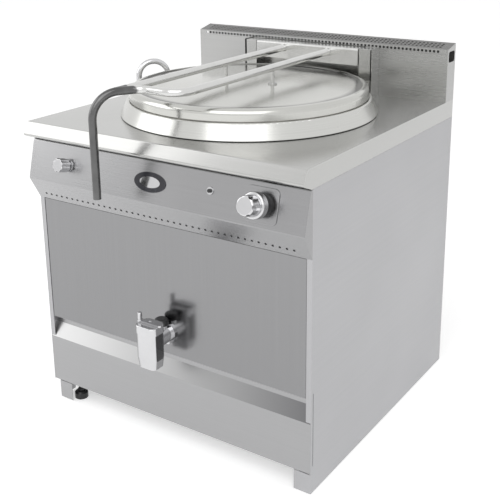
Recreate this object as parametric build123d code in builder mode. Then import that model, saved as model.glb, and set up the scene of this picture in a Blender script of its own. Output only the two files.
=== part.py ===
"""Gas-heated, steam-jacketed boiling kettle on a closed cabinet, in millimetres.

Frame: +Z up, front faces -Y, origin on the floor under the middle of the overall footprint.
Distances called "behind" are measured from the plane of the cabinet's front panel.
"""
import os
from math import cos, radians, sin, sqrt

from build123d import *

os.makedirs("parts", exist_ok=True)

# ---------------------------------------------------------------- driving dimensions
# cabinet
body_width = 900.0
body_depth = 840.0
worktop_height = 870.0
overall_height = worktop_height + 170.0
sheet = 1.5
worktop_sheet = 2.0
seam = 0.3                      # gap left at every seam between two pieces

# worktop edge, fascia, front panel and plinth, as heights from the floor
worktop_skirt = 53.0
nose_overhang = 26.0
nose_slope = 20.0
nose_height = 36.0
fascia_gap = 1.0
fascia_top_reach = 8.0
fascia_reach = 36.0
fascia_fold_height = worktop_height - 162.0
fascia_lip_bottom = worktop_height - 228.0
front_panel_bottom = 271.0
front_panel_top = fascia_lip_bottom - fascia_gap
front_panel_depth = 18.0
flange_width = 15.0
plinth_recess = 20.0
plinth_rail_top = 300.0
plinth_rail_bottom = 245.0
apron_top = 202.0
apron_bottom = 58.0
leg_width = 50.0
leg_inset = 22.0

# frame and feet
channel = 40.0
channel_wall = 2.0
angle_width = 30.0
foot_radius = 20.0
foot_height = 22.0
foot_stud_radius = 6.0
foot_inset = 70.0                # from the frame's side to a foot's middle
right_front_inset = 42.7

# kettle
kettle_behind = 410.0
vessel_radius = 320.0
vessel_wall = 2.0
vessel_bottom = 418.0
vessel_knuckle = 40.0
ring_foot_radius = 371.0
ring_radius = 350.0
ring_height = 44.0
ring_shoulder = 5.0
jacket_radius = 352.0
jacket_wall = 3.0
jacket_top = worktop_height - 20.0
jacket_bottom = 372.0
jacket_knuckle = 50.0
insulation_thickness = 22.0
insulation_bottom = 430.0
relief_angle = -45.0
relief_height = worktop_height - 90.0
relief_radius = 9.0

# lid and its lifting frame
lid_radius = 344.0
lid_edge_height = 31.0
lid_shoulder = 15.0
lid_crown = 5.0
lid_rim_width = 22.0
lid_rim_step = 3.0
lid_hem = 16.0
gasket_height = 2.4
gasket_width = 12.0
lid_tube_radius = 10.65
lid_tube_wall = 2.0
lid_tube_rise = 52.0             # from the lid's rim to the middle of the tubes
lid_arm_offset = 80.0
post_radius = 5.0
post_foot_radius = 12.0
post_foot_thickness = 3.0
handle_x = -112.0
handle_forward = 120.0
handle_bottom = worktop_height - 142.0
handle_bend = 68.0
arm_bend = 50.0
handle_cross_behind = -10.0
handle_cross_x = -46.0

# hinge
hinge_shaft_radius = 9.0
hinge_hub_radius = 13.0
hinge_hub_length = 36.0
hinge_clearance = 0.05
cover_half_width = 183.0
cover_front = 22.0               # the cover's sides, measured from the shaft's axis
cover_rear = 20.0
cover_rise = 16.0
cover_drop = 35.0
cover_rounding = 5.0
pillar_gap = 3.0
pillar_width = 38.0
pillar_front = 20.0
pillar_rear = 26.0
bush_radius = 13.0
cheek_gap = 5.0
cheek_rise = 18.0
cheek_front = 22.3
spring_length = 56.0
spring_wire = 4.0
spring_ridges = 7

# flue upstand
upstand_thickness = 58.0
grille_rise = 13.0
side_vent_drop = 36.0
grille_sheet = 1.5
grille_lip = 14.0
grille_hole = 7.0
grille_pitch = 12.5
grille_rows = 3
grille_columns = 68
duct_half_width = 150.0
duct_floor = 290.0
duct_ceiling = 360.0
duct_mouth = 200.0               # behind the kettle's axis

# controls on the fascia
controls_height = worktop_height - 108.0
knob_x = 323.0
knob_radius = 33.0
knob_skirt = 22.0
knob_grip = 32.0
knob_grip_radius = 26.0
knob_travel = 4.0
bezel_width = 94.0
bezel_height = 88.0
bezel_thickness = 3.0
seal_radius = 30.0
seal_thickness = 14.0
spindle_radius = 4.0
valve_depth = 72.0
valve_radius = 16.0
nose_radius = 8.5
port_end = 30.0
igniter_x = 172.0
igniter_height = controls_height + 9.0
igniter_radius = 5.0
igniter_travel = 4.0
badge_x = -18.0
badge_length = 104.0
badge_height = 52.0
water_knob_x = -309.0
water_knob_radius = 19.0
water_knob_length = 38.0
vent_radius = 2.6
vent_pitch = 20.0
vent_count = 42
vent_middle_x = -4.0
vent_place = 0.28                # share of the lip's slope, from its lower edge

# pipes
pipe_wall = 1.5
gas_pipe_radius = 9.0
gas_inlet_radius = 10.65
water_pipe_radius = 8.5
water_inlet_radius = 10.65
pipe_side_x = 395.0
pipe_inlet_height = 200.0
inlet_reach = 25.0
inlet_length = inlet_reach - 1.0
burner_run_height = 180.0

# filling pipe beside the kettle
filling_base_x = -408.0
filling_base_behind = 404.0
filling_angle = 10.5
filling_ring_offset = 13.0
filling_top = worktop_height + 103.0
filling_port_height = worktop_height + 15.0

# drain tap
tap_height = 334.0
drain_radius = 25.0
drain_behind = 165.0
flange_radius = 32.0
flange_thickness = 6.0
tap_behind = -70.0
tap_width = 64.0
tap_depth = 52.0
tap_rounding = 16.0
tap_top = 366.0
tap_bottom = 266.0
spout_length = 30.0
plug_radius = 21.0
plug_port = 15.0
plug_clearance = 0.05
plug_bottom = 300.0
plug_top = 354.0
tap_stem_radius = 6.0
bonnet_rim = 2.0
bonnet_height = 22.0
lever_length = 40.0
lever_width = 14.0
lever_thickness = 5.0
lever_stub_height = 20.0
cap_behind = -22.0
cap_radius = 19.5
cap_height = 18.0

# burner
burner_radius = 198.0
burner_tube_radius = 14.0
burner_height = 250.0
shield_radius = 298.0
shield_bottom = 225.0
shield_wall = 1.2
post_width = 30.0
lug_height = 420.0
lug_thickness = 8.0
lug_width = 60.0
lug_spacing = 200.0
stand_overhang = 40.0            # how far a stand's rail runs past the middle of a lug

# ---------------------------------------------------------------- worked-out places
half_width = body_width / 2
handle_reach = handle_forward + lid_tube_radius
front_y = (handle_reach - body_depth - inlet_reach) / 2
kettle_y = front_y + kettle_behind
inner_half = half_width - sheet - seam
frame_half = half_width - worktop_sheet - seam
skirt_bottom = worktop_height - worktop_skirt
ring_top = worktop_height + ring_height
vessel_outer = vessel_radius + vessel_wall
lid_bottom = ring_top + seam + gasket_height + seam
lid_rim_top = lid_bottom + lid_edge_height
lid_tube_height = lid_rim_top + lid_tube_rise
upstand_front_height = overall_height - grille_rise
duct_top = worktop_height + 0.35 * (overall_height - worktop_height)
upstand_behind = body_depth - upstand_thickness
hinge_behind = kettle_behind + lid_radius - 2.0
hinge_y = front_y + hinge_behind

side_plane = Plane(origin=(0, front_y, 0), x_dir=(0, 1, 0), z_dir=(1, 0, 0))
kettle_plane = Plane(origin=(0, kettle_y, 0), x_dir=(1, 0, 0), z_dir=(0, -1, 0))
kettle_axis = Axis((0, kettle_y, 0), (0, 0, 1))

fascia_top = skirt_bottom - fascia_gap
fascia_fall = fascia_top - fascia_fold_height
fascia_run = fascia_reach - fascia_top_reach
fascia_length = sqrt(fascia_fall**2 + fascia_run**2)
fascia_normal = Vector(0, -fascia_fall / fascia_length, fascia_run / fascia_length)
fascia_into = fascia_normal * -1


def fascia_point(x, height):
    """Point on the sloping face of the fascia at a given x and height."""
    behind = -fascia_top_reach - fascia_run * (fascia_top - height) / fascia_fall
    return Vector(x, front_y + behind, height)


def fascia_plane(x, height, out=0.0):
    """Plane parallel to the fascia's face, a distance out from it, with +z pointing out."""
    origin = fascia_point(x, height) + fascia_normal * out
    return Plane(origin=origin, x_dir=(1, 0, 0), z_dir=fascia_normal)


def horizontal(height, x=0.0, behind=0.0):
    """Horizontal plane at a height, with its origin at x and a distance behind the front."""
    return Plane(origin=(x, front_y + behind, height))


def facing_front(behind, x=0.0, height=0.0):
    """Upright plane that faces the front, a distance behind the cabinet's front."""
    return Plane(origin=(x, front_y + behind, height), x_dir=(1, 0, 0), z_dir=(0, -1, 0))


def save(piece, name):
    """Label a finished piece and write it as its own STEP file."""
    piece.part.label = name
    export_step(piece.part, f"parts/{name}.step")


def bent_tube(points, radii, outer, wall, inlet_radius=0.0):
    """Round tube along straight runs joined by tangent arcs, with an optional thicker inlet."""
    with BuildPart() as tube:
        with BuildLine() as path:
            FilletPolyline(*points, radius=radii)
        with BuildSketch(Plane(origin=path.wire() @ 0, z_dir=path.wire() % 0)):
            Circle(outer)
            Circle(outer - wall, mode=Mode.SUBTRACT)
        sweep()
        if inlet_radius:
            with BuildSketch(Plane(origin=path.wire() @ 0, z_dir=path.wire() % 0)):
                Circle(inlet_radius)
                Circle(outer - wall, mode=Mode.SUBTRACT)
            extrude(amount=inlet_length)
    return tube


# ---------------------------------------------------------------- frame
rail_behind = channel / 2 + 25.0
rear_rail_behind = body_depth - worktop_sheet - seam - channel / 2
cross_rails = (kettle_behind - burner_radius, kettle_behind + burner_radius)
frame_bottom = apron_bottom + 2.0
frame_top = frame_bottom + channel

with BuildPart() as base_frame:
    # perimeter and two cross rails of channel, open underneath
    for width, top in ((channel, frame_top), (channel - 2 * channel_wall, frame_top - channel_wall)):
        drop = Mode.ADD if width == channel else Mode.SUBTRACT
        with BuildSketch(horizontal(frame_bottom)):
            for behind in (rail_behind, *cross_rails, rear_rail_behind):
                with Locations((0, behind)):
                    Rectangle(2 * frame_half - (channel - width), width)
            for side in (-1, 1):
                with Locations((side * (frame_half - channel / 2), (rail_behind + rear_rail_behind) / 2)):
                    Rectangle(width, rear_rail_behind - rail_behind + width)
        extrude(amount=top - frame_bottom, mode=drop)
save(base_frame, "base_frame")


def side_frame(side):
    """Two angle posts and a top rail that carry the worktop on one side."""
    top = worktop_height - worktop_sheet
    with BuildPart() as frame:
        for behind, turn in ((rail_behind, 1), (rear_rail_behind, -1)):
            edge = behind - turn * channel / 2
            with BuildSketch(horizontal(frame_top + seam)):
                with Locations((side * (frame_half - angle_width / 2), edge + turn * channel_wall / 2)):
                    Rectangle(angle_width, channel_wall)
                with Locations((side * (frame_half - channel_wall / 2), edge + turn * angle_width / 2)):
                    Rectangle(channel_wall, angle_width)
            extrude(amount=top - frame_top - seam)
        run = rear_rail_behind - rail_behind + channel
        middle = (rail_behind + rear_rail_behind) / 2
        with BuildSketch(horizontal(top)):
            with Locations((side * (frame_half - angle_width / 2), middle)):
                Rectangle(angle_width, run)
        extrude(amount=-channel_wall)
        with BuildSketch(horizontal(top)):
            with Locations((side * (frame_half - channel_wall / 2), middle)):
                Rectangle(channel_wall, run)
        extrude(amount=-angle_width)
    return frame


save(side_frame(-1), "side_frame_left")
save(side_frame(1), "side_frame_right")

foot_x = frame_half - foot_inset
foot_spots = {
    "front_left": (-foot_x, rail_behind - 10.0),
    "front_right": (frame_half - right_front_inset, rail_behind - 10.0),
    "rear_left": (-foot_x, rear_rail_behind),
    "rear_right": (foot_x, rear_rail_behind),
}
for corner, (x, behind) in foot_spots.items():
    with BuildPart() as foot:
        with BuildSketch(horizontal(0, x, behind)):
            Circle(foot_radius)
        extrude(amount=foot_height)
        chamfer(foot.edges().group_by(Axis.Z)[-1], 5.0)
        with BuildSketch(horizontal(foot_height, x, behind)):
            RegularPolygon(foot_stud_radius * 1.7, 6)
        extrude(amount=8.0)
        with BuildSketch(horizontal(foot_height, x, behind)):
            Circle(foot_stud_radius)
        extrude(amount=frame_top - channel_wall - seam - foot_height)
    save(foot, f"foot_{corner}")

# ---------------------------------------------------------------- cabinet skin
panel_top = skirt_bottom - seam
flange_bottom = apron_top + 4.0


def side_panel(side, bottom):
    """Side sheet with a front return above the plinth and a folded rear edge."""
    outer = half_width if side > 0 else -half_width
    with BuildPart() as panel:
        with BuildSketch(Plane(origin=(outer, front_y, 0), x_dir=(0, 1, 0), z_dir=(1, 0, 0))):
            with Locations((body_depth / 2, (bottom + panel_top) / 2)):
                Rectangle(body_depth, panel_top - bottom)
        extrude(amount=-side * sheet)
        with BuildSketch(facing_front(sheet)):
            with Locations((side * (half_width - flange_width / 2), (flange_bottom + fascia_top) / 2)):
                Rectangle(flange_width, fascia_top - flange_bottom)
        extrude(amount=sheet)
        if bottom < apron_bottom:
            with BuildSketch(facing_front(sheet)):
                with Locations((side * (half_width - leg_width / 2), (bottom + apron_bottom - seam) / 2)):
                    Rectangle(leg_width, apron_bottom - seam - bottom)
            extrude(amount=sheet)
    return panel


save(side_panel(-1, apron_bottom), "side_panel_left")
save(side_panel(1, 2.0), "side_panel_right")

with BuildPart() as leg_plate:
    # folded plate that covers the front left foot
    left = -half_width + leg_inset
    with BuildSketch(horizontal(apron_bottom - seam)):
        with BuildLine():
            Polyline((left, 60.0), (left, 0.0), (left + leg_width - 2.0, 0.0))
            offset(amount=sheet, side=Side.LEFT)
        make_face()
    extrude(amount=-(apron_bottom - seam - 3.0))
save(leg_plate, "leg_plate")

with BuildPart() as rear_panel:
    with BuildSketch(facing_front(body_depth)):
        with Locations((0, (frame_bottom + panel_top) / 2)):
            Rectangle(2 * inner_half, panel_top - frame_bottom)
        with Locations((pipe_side_x, pipe_inlet_height)):
            Circle(gas_pipe_radius + seam, mode=Mode.SUBTRACT)
        with Locations((-pipe_side_x, pipe_inlet_height)):
            Circle(water_pipe_radius + seam, mode=Mode.SUBTRACT)
    extrude(amount=sheet)
save(rear_panel, "rear_panel")

with BuildPart() as apron:
    # recessed rail, ledge that slopes forward, flat apron, bottom return and one end gusset
    with BuildSketch(side_plane):
        with BuildLine():
            FilletPolyline(
                (plinth_recess, plinth_rail_top),
                (plinth_recess, plinth_rail_bottom),
                (0.0, apron_top),
                (0.0, apron_bottom),
                (plinth_recess, apron_bottom),
                radius=2.5,
            )
            offset(amount=sheet, side=Side.LEFT)
        make_face()
    extrude(amount=inner_half, both=True)
    with BuildSketch(side_plane.offset(inner_half)):
        with BuildLine():
            Polyline(
                (plinth_recess, plinth_rail_bottom),
                (sheet, apron_top),
                (plinth_recess, apron_top),
                close=True,
            )
        make_face()
    extrude(amount=-sheet)
save(apron, "apron")

with BuildPart() as front_panel:
    panel_half = half_width - flange_width - 2 * seam
    with BuildSketch(facing_front(front_panel_depth)):
        with Locations((0, (front_panel_bottom + front_panel_top) / 2)):
            Rectangle(2 * panel_half, front_panel_top - front_panel_bottom)
    extrude(amount=front_panel_depth)
    fillet(front_panel.edges().filter_by(Axis.Z).group_by(Axis.Y)[0], 3.0)
    offset(amount=-sheet, openings=front_panel.faces().sort_by(Axis.Y)[-1])
    with BuildSketch(facing_front(front_panel_depth)):
        with Locations((0, tap_height)):
            Circle(drain_radius + seam)
    extrude(amount=front_panel_depth, mode=Mode.SUBTRACT)
save(front_panel, "front_panel")

with BuildPart() as fascia:
    # folded control panel with closed ends, open behind
    with BuildSketch(side_plane) as fascia_profile:
        with BuildLine():
            FilletPolyline(
                (0.0, fascia_top),
                (-fascia_top_reach, fascia_top),
                (-fascia_reach, fascia_fold_height),
                (0.0, fascia_lip_bottom),
                radius=[4.0, 6.0],
            )
            Line((0.0, fascia_lip_bottom), (0.0, fascia_top))
        make_face()
    extrude(amount=half_width, both=True)
    offset(amount=-sheet, openings=fascia.faces().sort_by(Axis.Y)[-1])
    lip_slope = Vector(0, fascia_reach, fascia_lip_bottom - fascia_fold_height)
    lip_out = Vector(0, lip_slope.Z, -lip_slope.Y).normalized()
    vent_spot = Vector(vent_middle_x, front_y, fascia_lip_bottom) - lip_slope * vent_place
    with BuildSketch(Plane(origin=vent_spot, x_dir=(1, 0, 0), z_dir=lip_out)):
        with GridLocations(vent_pitch, 1, vent_count, 1):
            Circle(vent_radius)
    extrude(amount=3 * sheet, both=True, mode=Mode.SUBTRACT)
    for x, height, radius in (
        (knob_x, controls_height, nose_radius + seam),
        (water_knob_x, controls_height, nose_radius + seam),
        (igniter_x, igniter_height, igniter_radius + 1.0 + seam),
    ):
        with BuildSketch(fascia_plane(x, height)):
            Circle(radius)
        extrude(amount=6.0, both=True, mode=Mode.SUBTRACT)
save(fascia, "fascia")

# ---------------------------------------------------------------- worktop and kettle
duct_front = upstand_behind + 5.0
duct_depth = upstand_thickness - 12.0
duct_middle = duct_front + duct_depth / 2
kettle_hole = ring_foot_radius - 7.0

with BuildPart() as worktop:
    # pressed top with a bevelled front nose, folded down all round and open underneath
    with BuildSketch(side_plane):
        with BuildLine():
            FilletPolyline(
                (body_depth, skirt_bottom),
                (body_depth, worktop_height),
                (-nose_overhang, worktop_height),
                (-nose_overhang - nose_slope, worktop_height - nose_height),
                (-6.0, skirt_bottom),
                radius=[1.0, 5.0, 6.0],
            )
            Line((-6.0, skirt_bottom), (body_depth, skirt_bottom))
        make_face()
    extrude(amount=half_width, both=True)
    offset(amount=-worktop_sheet, openings=worktop.faces().sort_by(Axis.Z)[0])
    with BuildSketch(horizontal(worktop_height)):
        with Locations((0, kettle_behind)):
            Circle(kettle_hole)
        with Locations((0, duct_middle)):
            Rectangle(2 * (duct_half_width + seam), duct_depth + 2 * seam)
        with Locations((filling_base_x, filling_base_behind)):
            Circle(water_pipe_radius + seam)
    extrude(amount=-10.0, mode=Mode.SUBTRACT)
save(worktop, "worktop")

filling_ring = lid_radius + filling_ring_offset
fill_out = Vector(-cos(radians(filling_angle)), sin(radians(filling_angle)), 0)
filling_down = Vector(0, kettle_y, 0) + fill_out * filling_ring

with BuildPart() as kettle_ring:
    # raised conical ring round the vessel's mouth
    with BuildSketch(kettle_plane):
        with BuildLine():
            FilletPolyline(
                (kettle_hole - 2.0, worktop_height),
                (ring_foot_radius, worktop_height),
                (ring_radius, ring_top),
                (vessel_outer + seam, ring_top),
                radius=[2.5, ring_shoulder],
            )
            offset(amount=worktop_sheet, side=Side.LEFT)
        make_face()
    revolve(axis=kettle_axis)
    with BuildSketch(Plane(origin=(filling_down.X, filling_down.Y, worktop_height + 10.0))):
        Circle(water_pipe_radius + seam)
    extrude(amount=ring_height, mode=Mode.SUBTRACT)
save(kettle_ring, "kettle_ring")

port_plane = Plane(origin=(0, kettle_y, filling_port_height), x_dir=(0, 0, 1), z_dir=fill_out)
with BuildPart() as vessel:
    # stainless inner pan with an outlet in its floor and a filling port high on its wall
    with BuildSketch(kettle_plane):
        with BuildLine():
            FilletPolyline(
                (0, vessel_bottom),
                (vessel_outer, vessel_bottom),
                (vessel_outer, ring_top),
                radius=vessel_knuckle,
            )
            offset(amount=vessel_wall, side=Side.LEFT)
        make_face()
    revolve(axis=kettle_axis)
    with BuildSketch(horizontal(vessel_bottom - 5.0, 0, drain_behind)):
        Circle(drain_radius + seam)
    extrude(amount=15.0, mode=Mode.SUBTRACT)
    with BuildSketch(port_plane.offset(vessel_radius - 5.0)):
        Circle(water_pipe_radius + seam)
    extrude(amount=15.0, mode=Mode.SUBTRACT)
save(vessel, "vessel")

relief_out = Vector(cos(radians(relief_angle)), sin(radians(relief_angle)), 0)
relief_plane = Plane(origin=(0, kettle_y, relief_height), x_dir=(0, 0, 1), z_dir=relief_out)

with BuildPart() as jacket:
    # steam jacket: outer shell with its top closing ring and four carrying lugs
    with BuildSketch(kettle_plane):
        with BuildLine():
            FilletPolyline(
                (0, jacket_bottom),
                (jacket_radius, jacket_bottom),
                (jacket_radius, jacket_top),
                (vessel_outer + seam, jacket_top),
                radius=[jacket_knuckle, 6.0],
            )
            offset(amount=jacket_wall, side=Side.LEFT)
        make_face()
    revolve(axis=kettle_axis)
    lug_reach = frame_half - jacket_radius + 50.0
    with BuildSketch(horizontal(lug_height, 0, kettle_behind)):
        for side in (-1, 1):
            for row in (-1, 1):
                with Locations((side * (frame_half - lug_reach / 2), row * lug_spacing / 2)):
                    Rectangle(lug_reach, lug_width)
        Circle(jacket_radius - jacket_wall / 2, mode=Mode.SUBTRACT)
    extrude(amount=lug_thickness)
    with BuildSketch(horizontal(jacket_bottom - 5.0, 0, drain_behind)):
        Circle(drain_radius + seam)
    extrude(amount=15.0, mode=Mode.SUBTRACT)
    with BuildSketch(relief_plane.offset(jacket_radius - 10.0)):
        Circle(relief_radius + seam)
    extrude(amount=20.0, mode=Mode.SUBTRACT)
save(jacket, "jacket")

with BuildPart() as insulation:
    with BuildSketch(horizontal(insulation_bottom, 0, kettle_behind)):
        Circle(jacket_radius + seam + insulation_thickness)
        Circle(jacket_radius + seam, mode=Mode.SUBTRACT)
    extrude(amount=jacket_top - 4.0 - insulation_bottom)
    with BuildSketch(relief_plane.offset(jacket_radius - 10.0)):
        Circle(relief_radius + seam)
    extrude(amount=60.0, mode=Mode.SUBTRACT)
save(insulation, "jacket_insulation")

with BuildPart() as relief_valve:
    # spring-loaded relief valve on a stub that leaves the jacket through the insulation
    with BuildSketch(relief_plane.offset(jacket_radius - jacket_wall)):
        Circle(relief_radius)
        Circle(relief_radius - 3.0, mode=Mode.SUBTRACT)
    extrude(amount=45.0)
    with BuildSketch(relief_plane.offset(jacket_radius + 42.0)):
        RegularPolygon(15.0, 6)
    extrude(amount=26.0)
    relief_spot = Vector(0, kettle_y, relief_height) + relief_out * (jacket_radius + 55.0)
    with BuildSketch(Plane(origin=relief_spot)):
        Circle(10.0)
    extrude(amount=38.0)
    with BuildSketch(Plane(origin=relief_spot)):
        Circle(8.0)
    extrude(amount=-34.0)
save(relief_valve, "relief_valve")

for side, name in ((-1, "kettle_stand_left"), (1, "kettle_stand_right")):
    with BuildPart() as stand:
        # two square tube posts under a square tube rail that carries the jacket's lugs
        post_x = side * (frame_half - post_width / 2)
        with BuildSketch(horizontal(frame_top)):
            for row in (-1, 1):
                with Locations((post_x, kettle_behind + row * (lug_spacing + stand_overhang) / 2)):
                    Rectangle(post_width, post_width)
                    Rectangle(post_width - 2 * channel_wall, post_width - 2 * channel_wall, mode=Mode.SUBTRACT)
        extrude(amount=lug_height - post_width - frame_top)
        with BuildSketch(facing_front(kettle_behind)):
            with Locations((post_x, lug_height - post_width / 2)):
                Rectangle(post_width, post_width)
                Rectangle(post_width - 2 * channel_wall, post_width - 2 * channel_wall, mode=Mode.SUBTRACT)
        extrude(amount=lug_spacing / 2 + stand_overhang, both=True)
    save(stand, name)

# ---------------------------------------------------------------- burner and flue
with BuildPart() as burner:
    # ring burner on two feet, fed from below at its right side
    with BuildSketch(kettle_plane):
        with Locations((burner_radius, burner_height)):
            Circle(burner_tube_radius)
            Circle(burner_tube_radius - channel_wall, mode=Mode.SUBTRACT)
    revolve(axis=kettle_axis)
    with BuildSketch(horizontal(frame_top, 0, kettle_behind)):
        with GridLocations(1, 2 * burner_radius, 1, 2):
            Rectangle(30.0, 8.0)
    extrude(amount=burner_height - burner_tube_radius + 4.0 - frame_top)
    with BuildSketch(horizontal(burner_height - burner_tube_radius - 14.0, burner_radius, kettle_behind)):
        Circle(gas_pipe_radius)
    extrude(amount=20.0)
save(burner, "burner")

with BuildPart() as shield:
    # combustion chamber wall between the burner and the jacket's floor
    with BuildSketch(horizontal(shield_bottom, 0, kettle_behind)):
        Circle(shield_radius)
        Circle(shield_radius - shield_wall, mode=Mode.SUBTRACT)
    extrude(amount=jacket_bottom - shield_bottom)
    leg_x = sqrt(shield_radius**2 - burner_radius**2)
    with BuildSketch(horizontal(frame_top, 0, kettle_behind)):
        with GridLocations(2 * leg_x, 2 * burner_radius, 2, 2):
            Rectangle(12.0, 12.0)
    extrude(amount=shield_bottom + 20.0 - frame_top)
    with BuildSketch(facing_front(0)):
        with Locations((0, tap_height)):
            Rectangle(2 * (drain_radius + 2.0), 2 * (drain_radius + 2.0))
    extrude(amount=-kettle_behind, mode=Mode.SUBTRACT)
    with BuildSketch(facing_front(kettle_behind)):
        with Locations((0, (duct_floor + duct_ceiling) / 2)):
            Rectangle(2 * duct_half_width - 4.0, duct_ceiling - duct_floor - 4.0)
    extrude(amount=-kettle_behind, mode=Mode.SUBTRACT)
save(shield, "burner_shield")

with BuildPart() as pilot:
    # pilot jet with its spark electrode and thermocouple on one bracket
    with BuildSketch(horizontal(frame_top, 0, cross_rails[0] - 14.0)):
        with Locations((60.0, 0)):
            Rectangle(30.0, 4.0)
    extrude(amount=burner_height - frame_top)
    for x, radius, top in ((52.0, 4.0, 22.0), (60.0, 2.0, 28.0), (68.0, 3.0, 26.0)):
        with BuildSketch(horizontal(burner_height - 20.0, x, cross_rails[0] - 14.0)):
            Circle(radius)
        extrude(amount=20.0 + top)
save(pilot, "pilot_assembly")

with BuildPart() as flue_duct:
    with BuildSketch(side_plane):
        with BuildLine():
            Polyline(
                (kettle_behind + duct_mouth, duct_floor),
                (duct_front + duct_depth, duct_floor),
                (duct_front + duct_depth, duct_top),
                (duct_front, duct_top),
                (duct_front, duct_ceiling),
                (kettle_behind + duct_mouth, duct_ceiling),
                close=True,
            )
        make_face()
    extrude(amount=duct_half_width, both=True)
    mouth = flue_duct.faces().sort_by(Axis.Y)[0]
    outlet = flue_duct.faces().sort_by(Axis.Z)[-1]
    offset(amount=-shield_wall, openings=[mouth, outlet])
    with BuildSketch(horizontal(shield_bottom, 0, kettle_behind)):
        Circle(shield_radius + seam)
    extrude(amount=200.0, mode=Mode.SUBTRACT)
save(flue_duct, "flue_duct")

slope_run = Vector(0, upstand_thickness, overall_height - upstand_front_height)
slope_up = Vector(0, -slope_run.Z, slope_run.Y).normalized()


def slope_height(behind, below=0.0):
    """Height of the grille's sloping sheet at a distance behind, less a drop."""
    rise = (overall_height - upstand_front_height) / upstand_thickness
    return upstand_front_height + rise * (behind - upstand_behind) - below


with BuildPart() as upstand:
    # rear upstand: four walls whose top edge follows the slope of the grille
    with BuildSketch(horizontal(worktop_height)):
        with Locations((0, upstand_behind + upstand_thickness / 2)):
            Rectangle(body_width, upstand_thickness)
            Rectangle(body_width - 2 * sheet, upstand_thickness - 2 * sheet, mode=Mode.SUBTRACT)
    extrude(amount=overall_height - worktop_height)
    step = upstand_behind + grille_sheet + seam
    drop = grille_sheet + seam + 0.1
    with BuildSketch(side_plane):
        with BuildLine():
            Polyline(
                (upstand_behind - 5.0, upstand_front_height - grille_lip - seam),
                (step, upstand_front_height - grille_lip - seam),
                (step, slope_height(step, drop)),
                (body_depth + 5.0, slope_height(body_depth + 5.0, drop)),
                (body_depth + 5.0, overall_height + 20.0),
                (upstand_behind - 5.0, overall_height + 20.0),
                close=True,
            )
        make_face()
    extrude(amount=half_width + 1.0, both=True, mode=Mode.SUBTRACT)
    with BuildSketch(side_plane):
        with Locations((upstand_behind + upstand_thickness / 2, overall_height - side_vent_drop)):
            RectangleRounded(upstand_thickness - 14.0, 32.0, 8.0)
    extrude(amount=half_width + 1.0, both=True, mode=Mode.SUBTRACT)
save(upstand, "upstand")

with BuildPart() as grille:
    # perforated cap: sloping top with three rows of holes, front lip with one
    with BuildSketch(side_plane):
        with BuildLine():
            Polyline(
                (upstand_behind, upstand_front_height - grille_lip),
                (upstand_behind, upstand_front_height),
                (body_depth, overall_height),
            )
            offset(amount=grille_sheet, side=Side.RIGHT)
        make_face()
    extrude(amount=half_width, both=True)
    slope_spot = Vector(0, front_y + upstand_behind, upstand_front_height) + slope_run / 2
    with BuildSketch(Plane(origin=slope_spot, x_dir=(1, 0, 0), z_dir=slope_up)):
        with GridLocations(grille_pitch, grille_pitch, grille_columns, grille_rows):
            Rectangle(grille_hole, grille_hole)
    extrude(amount=3 * grille_sheet, both=True, mode=Mode.SUBTRACT)
    with BuildSketch(facing_front(upstand_behind, 0, upstand_front_height - grille_lip / 2)):
        with GridLocations(grille_pitch, 1, grille_columns, 1):
            Rectangle(grille_hole, grille_hole)
    extrude(amount=3 * grille_sheet, both=True, mode=Mode.SUBTRACT)
save(grille, "flue_grille")

# ---------------------------------------------------------------- lid and hinge
hinge_plane = Plane(origin=(0, hinge_y, lid_tube_height), x_dir=(0, 1, 0), z_dir=(1, 0, 0))

rim_inner = lid_radius - lid_rim_width
crown_drop = lid_crown + lid_rim_step
crown_bend = (rim_inner**2 + crown_drop**2) / (2 * crown_drop)


def crown_height(radius):
    """Height of the lid's crowned top at a distance from its middle."""
    return lid_rim_top + lid_crown - crown_bend + sqrt(crown_bend**2 - radius**2)


with BuildPart() as lid:
    # shallow crowned disc with a raised rim, a rolled shoulder and an inward hem
    with BuildSketch(kettle_plane):
        with BuildLine():
            TangentArc((0, lid_rim_top + lid_crown), (rim_inner, lid_rim_top - lid_rim_step), tangent=(1, 0))
            FilletPolyline(
                (rim_inner, lid_rim_top - lid_rim_step),
                (rim_inner + lid_rim_step, lid_rim_top),
                (lid_radius, lid_rim_top),
                (lid_radius, lid_bottom),
                radius=[1.0, lid_shoulder],
            )
            offset(amount=vessel_wall, side=Side.RIGHT)
        make_face()
    revolve(axis=kettle_axis)
    with BuildSketch(horizontal(lid_bottom, 0, kettle_behind)):
        Circle(lid_radius - 1.0)
        Circle(lid_radius - lid_hem, mode=Mode.SUBTRACT)
    extrude(amount=vessel_wall)
save(lid, "lid")

with BuildPart() as gasket:
    with BuildSketch(horizontal(ring_top + seam, 0, kettle_behind)):
        Circle(lid_radius - 2.5)
        Circle(lid_radius - 2.5 - gasket_width, mode=Mode.SUBTRACT)
    extrude(amount=gasket_height)
save(gasket, "lid_gasket")

handle_run = (
    (handle_x, front_y - handle_forward, handle_bottom),
    (handle_x, front_y - handle_forward, lid_tube_height),
    (handle_cross_x, front_y + handle_cross_behind, lid_tube_height),
    (lid_arm_offset, front_y + handle_cross_behind, lid_tube_height),
    (lid_arm_offset, hinge_y, lid_tube_height),
)
arm_share = (-lid_arm_offset - handle_x) / (handle_cross_x - handle_x)
arm_start = -handle_forward + arm_share * (handle_forward + handle_cross_behind)

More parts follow.
